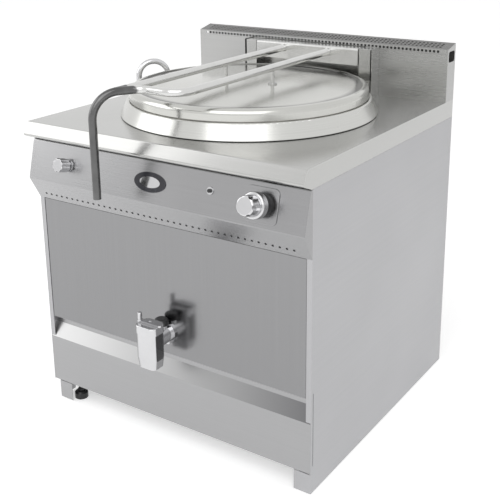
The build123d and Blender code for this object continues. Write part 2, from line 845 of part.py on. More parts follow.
with BuildPart() as lid_frame:
    # the hinge cover carries both arms; right arm, cross piece and handle are one bent tube
    with BuildSketch(hinge_plane):
        with Locations(((cover_rear - cover_front) / 2, (cover_rise - cover_drop) / 2)):
            Rectangle(cover_front + cover_rear, cover_rise + cover_drop)
    extrude(amount=cover_half_width, both=True)
    fillet(lid_frame.edges().filter_by(Axis.X).group_by(Axis.Z)[-1].sort_by(Axis.Y)[0], cover_rounding)
    cover_openings = [lid_frame.faces().sort_by(Axis.Z)[0], lid_frame.faces().sort_by(Axis.Y)[-1]]
    offset(amount=-worktop_sheet, openings=cover_openings)
    for radius, keep in ((lid_tube_radius, Mode.ADD), (lid_tube_radius - lid_tube_wall, Mode.SUBTRACT)):
        with BuildLine() as run:
            FilletPolyline(*handle_run, radius=[handle_bend, arm_bend, arm_bend])
        with BuildSketch(Plane(origin=run.wire() @ 0, z_dir=run.wire() % 0)):
            Circle(radius)
        sweep(path=run.wire(), mode=keep)
        with BuildSketch(facing_front(arm_start, -lid_arm_offset, lid_tube_height)):
            Circle(radius)
        extrude(amount=-(hinge_behind - arm_start), mode=keep)
    with BuildSketch(Plane(origin=handle_run[0])):
        Circle(lid_tube_radius)
    extrude(amount=lid_tube_wall)
    for side in (-1, 1):
        with BuildSketch(hinge_plane.offset(side * lid_arm_offset)):
            Circle(hinge_hub_radius)
        extrude(amount=hinge_hub_length / 2, both=True)
    with BuildSketch(hinge_plane):
        Circle(hinge_shaft_radius + hinge_clearance)
    extrude(amount=cover_half_width + 1.0, both=True, mode=Mode.SUBTRACT)
save(lid_frame, "lid_frame")

post_bottom = crown_height(lid_arm_offset - post_foot_radius) + 0.05
with BuildPart() as posts:
    # two short posts join the arms to the lid; their tops are coped to the tubes
    with BuildSketch(horizontal(post_bottom, 0, kettle_behind)):
        with GridLocations(2 * lid_arm_offset, 1, 2, 1):
            Circle(post_foot_radius)
    extrude(amount=post_foot_thickness)
    with BuildSketch(horizontal(post_bottom, 0, kettle_behind)):
        with GridLocations(2 * lid_arm_offset, 1, 2, 1):
            Circle(post_radius)
    extrude(amount=lid_tube_height - post_bottom)
    with BuildSketch(facing_front(kettle_behind, 0, lid_tube_height)):
        with GridLocations(2 * lid_arm_offset, 1, 2, 1):
            Circle(lid_tube_radius + seam)
    extrude(amount=30.0, both=True, mode=Mode.SUBTRACT)
save(posts, "lid_posts")

pillar_start = cover_half_width + pillar_gap
pillar_end = pillar_start + pillar_width
pillar_depth = pillar_front + pillar_rear
pillar_height = lid_tube_height + cover_rise - worktop_height

with BuildPart() as shaft:
    with BuildSketch(hinge_plane):
        Circle(hinge_shaft_radius)
    extrude(amount=pillar_end + 2.0, both=True)
    chamfer(shaft.edges().filter_by(GeomType.CIRCLE), 1.0)
save(shaft, "hinge_shaft")

with BuildPart() as bearings:
    # two hollow pillars on the worktop, each with a bush across it for the shaft
    pillar_behind = hinge_behind + (pillar_rear - pillar_front) / 2
    pillar_x = (pillar_start + pillar_end) / 2
    with BuildSketch(horizontal(worktop_height, 0, pillar_behind)):
        with GridLocations(2 * pillar_x, 1, 2, 1):
            Rectangle(pillar_width, pillar_depth)
    extrude(amount=pillar_height)
    with BuildSketch(horizontal(worktop_height, 0, pillar_behind)):
        with GridLocations(2 * pillar_x, 1, 2, 1):
            Rectangle(pillar_width - 2 * worktop_sheet, pillar_depth - 2 * worktop_sheet)
    extrude(amount=pillar_height - worktop_sheet, mode=Mode.SUBTRACT)
    for side in (-1, 1):
        with BuildSketch(hinge_plane.offset(side * pillar_x)):
            Circle(bush_radius)
        extrude(amount=pillar_width / 2, both=True)
    with BuildSketch(hinge_plane):
        Circle(hinge_shaft_radius + hinge_clearance)
    extrude(amount=pillar_end + 1.0, both=True, mode=Mode.SUBTRACT)
save(bearings, "hinge_bearings")

spring_inner = hinge_shaft_radius + seam
with BuildPart() as springs:
    # closely wound torsion springs, drawn as ridged sleeves round the shaft
    for side in (-1, 1):
        start = side * (lid_arm_offset + hinge_hub_length / 2 + 4.0)
        step = side * spring_length / spring_ridges
        top = spring_inner + spring_wire
        with BuildSketch(Plane(origin=(0, hinge_y, lid_tube_height), x_dir=(1, 0, 0), z_dir=(0, -1, 0))):
            with BuildLine():
                ridges = [(start, spring_inner)]
                for turn in range(spring_ridges):
                    ridges += [(start + turn * step, top - 1.5), (start + (turn + 0.5) * step, top)]
                ridges += [(start + spring_ridges * step, top - 1.5), (start + spring_ridges * step, spring_inner)]
                Polyline(*ridges, close=True)
            make_face()
        revolve(axis=Axis((0, hinge_y, lid_tube_height), (1, 0, 0)))
save(springs, "hinge_springs")

housing_rear = upstand_behind - seam
cheek_front_behind = hinge_behind - cheek_front
housing_half = pillar_end + cheek_gap + worktop_sheet
with BuildPart() as housing:
    # back plate against the upstand with a cheek outside each pillar
    with BuildSketch(horizontal(worktop_height, 0, (cheek_front_behind + housing_rear) / 2)):
        Rectangle(2 * housing_half, housing_rear - cheek_front_behind)
        with Locations((0, -worktop_sheet)):
            Rectangle(2 * (housing_half - worktop_sheet), housing_rear - cheek_front_behind, mode=Mode.SUBTRACT)
    extrude(amount=lid_tube_height + cheek_rise - worktop_height)
save(housing, "hinge_housing")

# ---------------------------------------------------------------- controls


def valve_middle(x):
    """Centre of the valve body that sits behind the fascia at x."""
    return fascia_point(x, controls_height) + fascia_into * valve_depth


def valve_body(x, side, port_radius):
    """Valve with a nose through the fascia, a side port and a port underneath."""
    middle = valve_middle(x)
    with BuildPart() as valve:
        with BuildSketch(fascia_plane(x, controls_height, -sheet - seam)):
            Circle(valve_radius)
        extrude(amount=-(valve_depth + valve_radius))
        with BuildSketch(fascia_plane(x, controls_height, -sheet - seam)):
            Circle(nose_radius)
        extrude(amount=sheet + seam + bezel_thickness)
        with BuildSketch(Plane(origin=middle, x_dir=(0, 1, 0), z_dir=(side, 0, 0))):
            RegularPolygon(port_radius + 4.0, 6)
        extrude(amount=30.0)
        with BuildSketch(Plane(origin=middle, x_dir=(1, 0, 0), z_dir=(0, 0, -1))):
            RegularPolygon(port_radius + 4.0, 6)
        extrude(amount=30.0)
        with BuildSketch(fascia_plane(x, controls_height, bezel_thickness + 1.0)):
            Circle(spindle_radius + hinge_clearance)
        extrude(amount=-(valve_depth + 2 * knob_travel), mode=Mode.SUBTRACT)
    return valve


save(valve_body(knob_x, 1, gas_pipe_radius), "gas_valve")
save(valve_body(water_knob_x, -1, water_pipe_radius), "water_valve")

with BuildPart() as bezel:
    with BuildSketch(fascia_plane(knob_x, controls_height)):
        RectangleRounded(bezel_width, bezel_height, 14.0)
        Circle(nose_radius + seam, mode=Mode.SUBTRACT)
    extrude(amount=bezel_thickness)
    fillet(bezel.faces().sort_by(Axis(fascia_point(knob_x, controls_height), fascia_normal))[-1].outer_wire().edges(), 1.2)
save(bezel, "knob_bezel")

with BuildPart() as seal:
    with BuildSketch(fascia_plane(knob_x, controls_height, bezel_thickness)):
        Circle(seal_radius)
        Circle(nose_radius + seam, mode=Mode.SUBTRACT)
    extrude(amount=seal_thickness, taper=8.0)
save(seal, "knob_base_ring")

knob_back = bezel_thickness + seal_thickness + knob_travel + 1.0
knob_length = knob_skirt + knob_grip
knob_direction = Axis(fascia_point(knob_x, controls_height), fascia_normal)

with BuildPart() as spindle:
    with BuildSketch(fascia_plane(knob_x, controls_height, knob_back + knob_length / 2)):
        Circle(spindle_radius)
    extrude(amount=-(knob_back + knob_length / 2 + valve_depth - 2 * knob_travel))
save(spindle, "gas_spindle")

with BuildPart() as knob:
    # heavy round skirt with a fluted, slightly tapered grip
    with BuildSketch(fascia_plane(knob_x, controls_height, knob_back)):
        Circle(knob_radius)
    extrude(amount=knob_skirt)
    fillet(knob.edges().sort_by(knob_direction)[-1], 5.0)
    fillet(knob.edges().sort_by(knob_direction)[0], 1.5)
    with BuildSketch(fascia_plane(knob_x, controls_height, knob_back + knob_skirt)):
        Circle(knob_grip_radius)
    extrude(amount=knob_grip, taper=3.0)
    fillet(knob.edges().sort_by(knob_direction)[-1], 5.0)
    with BuildSketch(fascia_plane(knob_x, controls_height, knob_back + knob_skirt + 2.0)):
        with PolarLocations(knob_grip_radius + 5.0, 6):
            Circle(9.5)
    extrude(amount=knob_grip, mode=Mode.SUBTRACT)
    with BuildSketch(fascia_plane(knob_x, controls_height, knob_back)):
        Circle(spindle_radius + hinge_clearance)
    extrude(amount=knob_length / 2 + 1.0, mode=Mode.SUBTRACT)
save(knob, "control_knob")

with BuildPart() as water_knob:
    # slim round handle with a fluted rim
    with BuildSketch(fascia_plane(water_knob_x, controls_height, bezel_thickness + 6.0)):
        Circle(water_knob_radius)
        with PolarLocations(water_knob_radius + 3.5, 8):
            Circle(6.0, mode=Mode.SUBTRACT)
    extrude(amount=water_knob_length - 6.0)
    water_direction = Axis(fascia_point(water_knob_x, controls_height), fascia_normal)
    fillet(water_knob.faces().sort_by(water_direction)[-1].outer_wire().edges(), 1.5)
    with BuildSketch(fascia_plane(water_knob_x, controls_height, bezel_thickness + seam)):
        Circle(nose_radius + 3.0)
    extrude(amount=8.0)
    with BuildSketch(fascia_plane(water_knob_x, controls_height, bezel_thickness)):
        Circle(spindle_radius + hinge_clearance)
    extrude(amount=water_knob_length / 2 + 1.0, mode=Mode.SUBTRACT)
save(water_knob, "water_knob")

with BuildPart() as water_stem:
    # stem that joins the water handle to the valve's cone
    with BuildSketch(fascia_plane(water_knob_x, controls_height, water_knob_length / 2)):
        Circle(spindle_radius)
    extrude(amount=-(water_knob_length / 2 + valve_depth - 12.0))
save(water_stem, "water_stem")

with BuildPart() as escutcheon:
    with BuildSketch(fascia_plane(water_knob_x, controls_height)):
        Circle(water_knob_radius - 2.0)
        Circle(nose_radius + seam, mode=Mode.SUBTRACT)
    extrude(amount=bezel_thickness - seam)
save(escutcheon, "water_escutcheon")

with BuildPart() as igniter:
    # igniter body behind the fascia with a bright collar in front
    with BuildSketch(fascia_plane(igniter_x, igniter_height)):
        Circle(igniter_radius + 4.5)
        Circle(igniter_radius + hinge_clearance, mode=Mode.SUBTRACT)
    extrude(amount=3.0)
    with BuildSketch(fascia_plane(igniter_x, igniter_height)):
        Circle(igniter_radius + 1.0)
        Circle(igniter_radius + hinge_clearance, mode=Mode.SUBTRACT)
    extrude(amount=-30.0)
    with BuildSketch(fascia_plane(igniter_x, igniter_height, -30.0)):
        Circle(igniter_radius + 3.0)
    extrude(amount=-24.0)
    with BuildSketch(fascia_plane(igniter_x, igniter_height, -sheet - seam)):
        RegularPolygon(igniter_radius + 5.0, 6)
        Circle(igniter_radius + 0.5, mode=Mode.SUBTRACT)
    extrude(amount=-5.0)
save(igniter, "igniter")

with BuildPart() as button:
    with BuildSketch(fascia_plane(igniter_x, igniter_height, 3.0 + igniter_travel + 1.5)):
        Circle(igniter_radius)
    extrude(amount=-(3.0 + igniter_travel + 1.5 + 24.0))
    button_direction = Axis(fascia_point(igniter_x, igniter_height), fascia_normal)
    fillet(button.edges().sort_by(button_direction)[-1], 1.2)
save(button, "igniter_button")

with BuildPart() as badge:
    with BuildSketch(fascia_plane(badge_x, controls_height)):
        Ellipse(badge_length / 2, badge_height / 2)
    extrude(amount=1.5)
save(badge, "badge_plate")

# ---------------------------------------------------------------- pipes
gas_valve_middle = valve_middle(knob_x)
water_valve_middle = valve_middle(water_knob_x)
rear_y = front_y + body_depth + inlet_reach

gas_supply = bent_tube(
    (
        (pipe_side_x, rear_y, pipe_inlet_height),
        (pipe_side_x, gas_valve_middle.Y, pipe_inlet_height),
        (pipe_side_x, gas_valve_middle.Y, gas_valve_middle.Z),
        (knob_x + port_end, gas_valve_middle.Y, gas_valve_middle.Z),
    ),
    [30.0, 24.0],
    gas_pipe_radius,
    pipe_wall,
    gas_inlet_radius,
)
save(gas_supply, "gas_supply_pipe")

gas_feed = bent_tube(
    (
        (knob_x, gas_valve_middle.Y, gas_valve_middle.Z - port_end),
        (knob_x, gas_valve_middle.Y, burner_run_height),
        (knob_x, kettle_y, burner_run_height),
        (burner_radius, kettle_y, burner_run_height),
        (burner_radius, kettle_y, burner_height - burner_tube_radius - 14.0),
    ),
    [30.0, 30.0, 24.0],
    gas_pipe_radius,
    pipe_wall,
)
save(gas_feed, "gas_feed_pipe")

water_inlet = bent_tube(
    (
        (-pipe_side_x, rear_y, pipe_inlet_height),
        (-pipe_side_x, water_valve_middle.Y, pipe_inlet_height),
        (water_knob_x, water_valve_middle.Y, pipe_inlet_height),
        (water_knob_x, water_valve_middle.Y, water_valve_middle.Z - port_end),
    ),
    [30.0, 30.0],
    water_pipe_radius,
    pipe_wall,
    water_inlet_radius,
)
save(water_inlet, "water_inlet_pipe")

filling_y = front_y + filling_base_behind
water_feed = bent_tube(
    (
        (water_knob_x - port_end, water_valve_middle.Y, water_valve_middle.Z),
        (filling_base_x, water_valve_middle.Y, water_valve_middle.Z),
        (filling_base_x, filling_y, water_valve_middle.Z),
        (filling_base_x, filling_y, worktop_height - 20.0),
    ),
    [30.0, 30.0],
    water_pipe_radius,
    pipe_wall,
)
save(water_feed, "water_feed_pipe")

filling_end = Vector(0, kettle_y, 0) + fill_out * (vessel_radius + 0.3)
filling = bent_tube(
    (
        (filling_base_x, filling_y, worktop_height - 20.0),
        (filling_base_x, filling_y, filling_top),
        (filling_down.X, filling_down.Y, filling_top),
        (filling_down.X, filling_down.Y, filling_port_height),
        (filling_end.X, filling_end.Y, filling_port_height),
    ),
    [44.0, 44.0, 14.0],
    water_pipe_radius,
    pipe_wall,
)
save(filling, "filling_pipe")

with BuildPart() as filling_collar:
    with BuildSketch(horizontal(worktop_height, filling_base_x, filling_base_behind)):
        Circle(20.0)
        Circle(water_pipe_radius + seam, mode=Mode.SUBTRACT)
    extrude(amount=6.0)
    fillet(filling_collar.faces().sort_by(Axis.Z)[-1].outer_wire().edges(), 3.0)
save(filling_collar, "filling_pipe_collar")

# ---------------------------------------------------------------- drain and tap
drain = bent_tube(
    (
        (0, front_y + drain_behind, vessel_bottom + vessel_wall),
        (0, front_y + drain_behind, tap_height),
        (0, front_y, tap_height),
    ),
    [36.0],
    drain_radius,
    pipe_wall,
)
save(drain, "drain_pipe")

with BuildPart() as tap:
    # flange, barrel and upright column with a spout that is open at the bottom
    with BuildSketch(facing_front(0, 0, tap_height)):
        Circle(flange_radius)
    extrude(amount=flange_thickness)
    with BuildSketch(facing_front(-flange_thickness, 0, tap_height)):
        Circle(drain_radius)
    extrude(amount=-tap_behind - flange_thickness)
    with BuildSketch(horizontal(tap_bottom + spout_length, 0, tap_behind)):
        RectangleRounded(tap_width, tap_depth, tap_rounding)
    extrude(amount=tap_top - tap_bottom - spout_length)
    with BuildSketch(horizontal(tap_bottom + spout_length, 0, tap_behind)):
        RectangleRounded(tap_width, tap_depth, tap_rounding)
    extrude(amount=-spout_length, taper=8.0)
    with BuildSketch(horizontal(plug_bottom, 0, tap_behind)):
        Circle(plug_radius - 3.0)
    extrude(amount=tap_bottom - plug_bottom, mode=Mode.SUBTRACT)
    with BuildSketch(horizontal(plug_bottom, 0, tap_behind)):
        Circle(plug_radius + plug_clearance)
    extrude(amount=tap_top - plug_bottom, mode=Mode.SUBTRACT)
    with BuildSketch(facing_front(0, 0, tap_height)):
        Circle(plug_port + 2.0)
    extrude(amount=-tap_behind, mode=Mode.SUBTRACT)
    with BuildSketch(horizontal(tap_height + plug_port + 4.0, 0, cap_behind)):
        Circle(cap_radius - 5.0)
    extrude(amount=drain_radius + 4.0 - plug_port)
save(tap, "tap_body")

with BuildPart() as plug:
    # quarter-turn plug: a side port meets a port that opens downwards
    with BuildSketch(horizontal(plug_bottom + seam, 0, tap_behind)):
        Circle(plug_radius)
    extrude(amount=plug_top - plug_bottom)
    with BuildSketch(horizontal(plug_top, 0, tap_behind)):
        Circle(tap_stem_radius)
    extrude(amount=tap_top + bonnet_height + 4.0 - plug_top)
    with BuildSketch(horizontal(plug_bottom, 0, tap_behind)):
        Circle(plug_port)
    extrude(amount=tap_height - plug_bottom, mode=Mode.SUBTRACT)
    with BuildSketch(Plane(origin=(0, front_y + tap_behind, tap_height), x_dir=(0, 1, 0), z_dir=(1, 0, 0))):
        Circle(plug_port)
    extrude(amount=plug_radius + 1.0, mode=Mode.SUBTRACT)
save(plug, "tap_plug")

with BuildPart() as bonnet:
    with BuildSketch(horizontal(tap_top, 0, tap_behind)):
        RectangleRounded(tap_width + 2 * bonnet_rim, tap_depth + 2 * bonnet_rim, tap_rounding + bonnet_rim)
        Circle(tap_stem_radius + plug_clearance, mode=Mode.SUBTRACT)
    extrude(amount=bonnet_height)
    fillet(bonnet.faces().sort_by(Axis.Z)[-1].outer_wire().edges(), 2.5)
save(bonnet, "tap_bonnet")

with BuildPart() as lever:
    lever_bottom = tap_top + bonnet_height + seam
    with BuildSketch(horizontal(lever_bottom, 0, tap_behind)):
        SlotOverall(2 * lever_length, lever_width)
        Circle(tap_stem_radius + plug_clearance, mode=Mode.SUBTRACT)
    extrude(amount=lever_thickness)
    with BuildSketch(horizontal(lever_bottom + lever_thickness, -lever_length + lever_width / 2, tap_behind)):
        Circle(lever_width / 2 - 1.0)
    extrude(amount=lever_stub_height)
    fillet(lever.faces().sort_by(Axis.Z)[-1].edges(), 2.0)
save(lever, "tap_lever")

with BuildPart() as cap:
    with BuildSketch(horizontal(tap_height + drain_radius + 8.0, 0, cap_behind)):
        Circle(cap_radius)
    extrude(amount=cap_height)
    fillet(cap.edges().group_by(Axis.Z)[-1], 9.0)
save(cap, "tap_cap")
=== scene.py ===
"""Finishes, small fittings, light and camera for the steam jacketed kettle."""

import math

import bmesh
import bpy
from mathutils import Matrix, Vector


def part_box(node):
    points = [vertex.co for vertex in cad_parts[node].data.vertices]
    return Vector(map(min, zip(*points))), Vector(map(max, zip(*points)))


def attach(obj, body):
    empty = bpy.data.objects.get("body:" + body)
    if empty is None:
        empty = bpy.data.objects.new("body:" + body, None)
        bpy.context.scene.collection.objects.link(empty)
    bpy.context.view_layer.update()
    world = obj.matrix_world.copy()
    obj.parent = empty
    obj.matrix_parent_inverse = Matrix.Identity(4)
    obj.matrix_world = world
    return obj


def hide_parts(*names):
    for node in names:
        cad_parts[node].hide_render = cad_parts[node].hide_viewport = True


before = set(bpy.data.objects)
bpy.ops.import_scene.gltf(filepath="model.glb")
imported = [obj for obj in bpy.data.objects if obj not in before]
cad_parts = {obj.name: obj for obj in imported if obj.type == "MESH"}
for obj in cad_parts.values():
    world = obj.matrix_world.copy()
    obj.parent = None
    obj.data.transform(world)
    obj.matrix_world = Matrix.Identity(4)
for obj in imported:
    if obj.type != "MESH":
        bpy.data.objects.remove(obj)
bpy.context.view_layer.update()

CABINET = "cabinet"
LID = "lid_assembly"


# ---------------------------------------------------------------- shader tools
class Wire:
    """One output socket of a node, so that shader maths reads as arithmetic."""

    def __init__(self, owner, socket):
        self.owner = owner
        self.socket = socket

    def maths(self, operation, *values):
        return self.owner.node("ShaderNodeMath", {"operation": operation}, dict(enumerate(values)))

    def __add__(self, other):
        return self.maths("ADD", self, other)

    def __radd__(self, other):
        return self.maths("ADD", other, self)

    def __sub__(self, other):
        return self.maths("SUBTRACT", self, other)

    def __rsub__(self, other):
        return self.maths("SUBTRACT", other, self)

    def __mul__(self, other):
        return self.maths("MULTIPLY", self, other)

    def __rmul__(self, other):
        return self.maths("MULTIPLY", other, self)

    def above(self, level):
        """1 where the value is over a level, and 0 elsewhere."""
        return self.maths("GREATER_THAN", self, level)

    def larger(self, other):
        """The larger of two values: on masks, either of them."""
        return self.maths("MAXIMUM", self, other)


class Shading:
    """The nodes of a material or of the world, with one method that adds a node."""

    def __init__(self, tree):
        self.tree = tree

    def feed(self, node, inputs):
        """Puts values on a node's sockets, or links wires to them."""
        for socket, value in inputs.items():
            if isinstance(value, Wire):
                self.tree.links.new(value.socket, node.inputs[socket])
            else:
                node.inputs[socket].default_value = value

    def node(self, kind, settings=None, inputs=None, output=0):
        """Adds a node: its settings first, then the values or links of its sockets."""
        made = self.tree.nodes.new(kind)
        for name, value in (settings or {}).items():
            setattr(made, name, value)
        self.feed(made, inputs or {})
        return Wire(self, made.outputs[output])


class Finish(Shading):
    """A material on a Principled shader, with the patterns that finishes are made of."""

    def __init__(self, name, colour, roughness, metallic=0.0, **sockets):
        self.material = bpy.data.materials.new(name)
        self.material.use_nodes = True
        super().__init__(self.material.node_tree)
        self.shader = self.tree.nodes["Principled BSDF"]
        self.material.diffuse_color = (*colour, 1.0)
        self.set("Base Color", (*colour, 1.0))
        self.set("Roughness", roughness)
        self.set("Metallic", metallic)
        for socket, value in sockets.items():
            self.set(socket.replace("_", " "), value)

    def set(self, socket, value):
        """Puts a value on a socket of the Principled shader, or links a wire to it."""
        self.feed(self.shader, {socket: value})

    def place(self, scale=(1, 1, 1), shift=(0, 0, 0)):
        """Object coordinates, stretched and shifted."""
        where = self.node("ShaderNodeTexCoord", output="Object")
        return self.node("ShaderNodeMapping", {"vector_type": "POINT"},
                         {0: where, "Location": shift, "Scale": scale})

    def along(self, axis):
        """One coordinate of the surface, in metres."""
        where = self.node("ShaderNodeTexCoord", output="Object")
        return self.node("ShaderNodeSeparateXYZ", {}, {0: where}, output=axis)

    def noise(self, vector, scale, detail, roughness=0.55):
        """A noise pattern over the surface."""
        return self.node("ShaderNodeTexNoise", {},
                         {"Vector": vector, "Scale": scale, "Detail": detail, "Roughness": roughness})

    def spread(self, value, low, high, to_low=0.0, to_high=1.0):
        """Maps a value from one range to another, held at both ends."""
        return self.node("ShaderNodeMapRange", {"clamp": True},
                         {0: value, 1: low, 2: high, 3: to_low, 4: to_high})

    def blend(self, factor, first, second):
        """Mixes two colours, written out or wired, by a factor."""
        first, second = (one if isinstance(one, Wire) else (*one, 1.0) for one in (first, second))
        return self.node("ShaderNodeMix", {"data_type": "RGBA"}, {0: factor, 6: first, 7: second}, output=2)

    def raise_by(self, height, distance, strength):
        """Feeds a height through a Bump node into the shader's normal."""
        bump = self.node("ShaderNodeBump", {},
                         {"Strength": strength, "Distance": distance, "Height": height})
        self.set("Normal", bump)


def shade(colour, factor):
    """A colour made lighter or darker."""
    return tuple(min(1.0, channel * factor) for channel in colour)


# ---------------------------------------------------------------- places that finishes and fittings share
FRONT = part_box("front_panel")[0][1]
RING_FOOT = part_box("worktop")[1][2]
# the dark part of the handle, measured back from its foremost point
GRIP_LENGTH = 0.103
GRIP_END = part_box("lid_frame")[0][1] + GRIP_LENGTH
# from the tap's middle to just inside the right face of its square column, where its painted shade begins
TAP_SHADED_SIDE_OUT = 0.0312
tap_lo, tap_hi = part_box("tap_plug")
TAP_SHADED_SIDE = (tap_lo[0] + tap_hi[0]) / 2 + TAP_SHADED_SIDE_OUT
# radius of the crease between the lid's crown and rim, and the heights of the plinth's sloping ledge
LID_CREASE = 0.3225
LEDGE_SLOPE = (0.2025, 0.2445)
# run and fall of the fascia's slope and of its lower lip, which give their angles
FASCIA_RUN, FASCIA_FALL = 28.0, 108.0
LIP_RUN, LIP_FALL = 36.0, 66.0


# ---------------------------------------------------------------- finishes
GRAIN_ALONG, GRAIN_ACROSS = 3.0, 700.0
GRAIN_AXIS = {"x": 0, "y": 1, "z": 2}


def mottled(finish, pattern, colour, darker, lighter, low=0.3, high=0.7):
    """One colour, made darker and lighter by a pattern's low and high values."""
    return finish.blend(finish.spread(pattern, low, high), shade(colour, darker), shade(colour, lighter))


def grain_lines(finish, grain, fineness=1.0):
    """Long thin brush lines along one axis."""
    stretch = [GRAIN_ACROSS * fineness] * 3
    stretch[GRAIN_AXIS[grain]] = GRAIN_ALONG * fineness
    return finish.noise(finish.place(tuple(stretch)), 1.0, detail=2.0)


def brushed(finish, colour, roughness, grain):
    """Fine grain along one axis with faint broad smudges; gives back the colour's wire."""
    lines = grain_lines(finish, grain)
    tone = lines * 0.6 + grain_lines(finish, grain, 0.3) * 0.4
    cloud = finish.noise(finish.place(), 2.3, detail=2.0)
    smudges = cloud + lines * 0.35
    finish.set("Roughness", finish.spread(smudges, 0.45, 0.95, roughness - 0.05, roughness + 0.07))
    finish.raise_by(tone, distance=0.00006, strength=0.22)
    return mottled(finish, tone, colour, 0.97, 1.03)


# across the front, where the painted reflection on the left end fades out
LEFT_REFLECTION_FADE = (-0.42, 0.10)


def brushed_steel(name, colour, roughness, grain, left=1.0):
    """Satin stainless sheet, with a painted reflection that makes it lighter or darker towards its left end
    by a factor.
    """
    finish = Finish(name, colour, roughness, metallic=1.0)
    sheet = brushed(finish, colour, roughness, grain)
    if left != 1.0:
        left_reflection = mottled(finish, grain_lines(finish, grain), shade(colour, left), 0.97, 1.03)
        sheet = finish.blend(finish.spread(finish.along(0), *LEFT_REFLECTION_FADE, 1.0, 0.0), sheet, left_reflection)
    finish.set("Base Color", sheet)
    return finish.material


# across the front, where the slope's painted reflection turns from its left tone into its right tone
SLOPE_REFLECTION_FADE = (-0.44, 0.44)


def folded_steel(name, colour, roughness, slope, left, right):
    """Satin sheet with a slope between two heights, where a painted reflection runs from a left tone to a
    right tone.
    """
    finish = Finish(name, colour, roughness, metallic=1.0)
    sheet = brushed(finish, colour, roughness, "x")
    slope_reflection = finish.blend(finish.spread(finish.along(0), *SLOPE_REFLECTION_FADE), left, right)
    height = finish.along(2)
    on_slope = height.above(slope[0]) * (1.0 - height.above(slope[1]))
    finish.set("Base Color", finish.blend(on_slope, sheet, slope_reflection))
    return finish.material


UPSTAND_ROUGHNESS = 0.28
# how far behind its faces the upstand's inside begins
WALL_SKIN = 0.0008


def flue_steel(name, colour, flue_shade):
    """Satin stainless sheet whose inner side, in the flue, is painted dark and matte as shade."""
    finish = Finish(name, colour, UPSTAND_ROUGHNESS, metallic=1.0)
    clean = brushed(finish, colour, UPSTAND_ROUGHNESS, "x")
    lo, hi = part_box("upstand")
    inside = 1.0
    for axis in (0, 1):
        place = finish.along(axis)
        past_wall = place.above(lo[axis] + WALL_SKIN) * (1.0 - place.above(hi[axis] - WALL_SKIN))
        inside = inside * past_wall
    # painted shade on the flue's inner faces
    finish.set("Base Color", finish.blend(inside, clean, flue_shade))
    finish.set("Metallic", 1.0 - inside)
    return finish.material


# the crease's shade starts and is full inside its radius, and ends outside it
CREASE_REACH, CREASE_SOFT, CREASE_OUT = 0.024, 0.009, 0.0025
# the rim's edge of painted shade beyond the crease, and the foot's painted shade above its height
RIM_EDGE = (0.0215, 0.0225)
FOOT_FADE = (0.0012, 0.0030)


def spun_steel(name, colour, roughness, crease=None, foot=None):
    """Polished pan steel with fine turned rings; it may have painted shade in a crease at a radius or at
    its foot.
    """
    finish = Finish(name, colour, roughness, metallic=1.0)
    lo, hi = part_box("kettle_ring")
    centre = (Vector(lo) + Vector(hi)) / 2
    where = finish.place(shift=(-centre.x, -centre.y, 0.0))
    flat = finish.node("ShaderNodeVectorMath", {"operation": "MULTIPLY"}, {0: where, 1: (1.0, 1.0, 0.0)})
    radius = finish.node("ShaderNodeVectorMath", {"operation": "LENGTH"}, {0: flat}, output="Value")
    rings = finish.node("ShaderNodeTexNoise", {"noise_dimensions": "1D"},
                        {"W": radius, "Scale": 420.0, "Detail": 3.0})
    cloud = finish.noise(finish.place(), 3.0, detail=2.0)
    surface = mottled(finish, rings, colour, 0.97, 1.03)
    if crease:
        # painted shade in the crease between the crown and the rim, broken into patches
        inner = finish.spread(radius, crease - CREASE_REACH, crease - CREASE_SOFT)
        outer = 1.0 - radius.above(crease + CREASE_OUT)
        broken = finish.noise(finish.place(shift=(0.3, 0.1, 0.0)), 6.0, detail=1.0)
        patchy = finish.spread(broken, 0.38, 0.58, 0.55, 1.0)
        surface = finish.blend(inner * outer * patchy, surface, shade(colour, 0.25))
        # painted shade on the rim's outer edge, stronger where the crease's patches are weak
        rim = finish.spread(radius, crease + RIM_EDGE[0], crease + RIM_EDGE[1])
        surface = finish.blend(rim * (1.0 - patchy), surface, shade(colour, 0.45))
    if foot:
        # painted shade just above the foot
        foot_shade = finish.spread(finish.along(2), foot + FOOT_FADE[0], foot + FOOT_FADE[1], 1.0, 0.0)
        surface = finish.blend(foot_shade, surface, shade(colour, 0.2))
    finish.set("Base Color", surface)
    finish.set("Roughness", finish.spread(cloud, 0.3, 0.7, roughness - 0.04, roughness + 0.07))
    finish.raise_by(rings, distance=0.00005, strength=0.3)
    return finish.material


def plated(name, colour, roughness, edge, side=None):
    """Polished or chromed metal with faint wipe marks, with painted dark reflections at its edges, and
    painted shade past a side if given.
    """
    finish = Finish(name, colour, roughness, metallic=1.0)
    cloud = finish.noise(finish.place(), 22.0, detail=3.0)
    finish.set("Roughness", finish.spread(cloud, 0.35, 0.75, roughness, roughness + 0.10))
    surface = mottled(finish, cloud, colour, 0.96, 1.02)
    # painted dark reflections towards the edges, where the surface turns away from the view
    edge_shade_facing = finish.node("ShaderNodeLayerWeight", {}, {"Blend": 0.5}, output="Facing")
    surface = finish.blend(finish.spread(edge_shade_facing, 0.45, 0.85), surface, shade(colour, edge))
    if side is not None:
        # painted shade on the side past the given place, such as the tap's right face
        surface = finish.blend(finish.along(0).above(side), surface, shade(colour, 0.22))
    finish.set("Base Color", surface)
    return finish.material


GRIP_FADE = 0.002


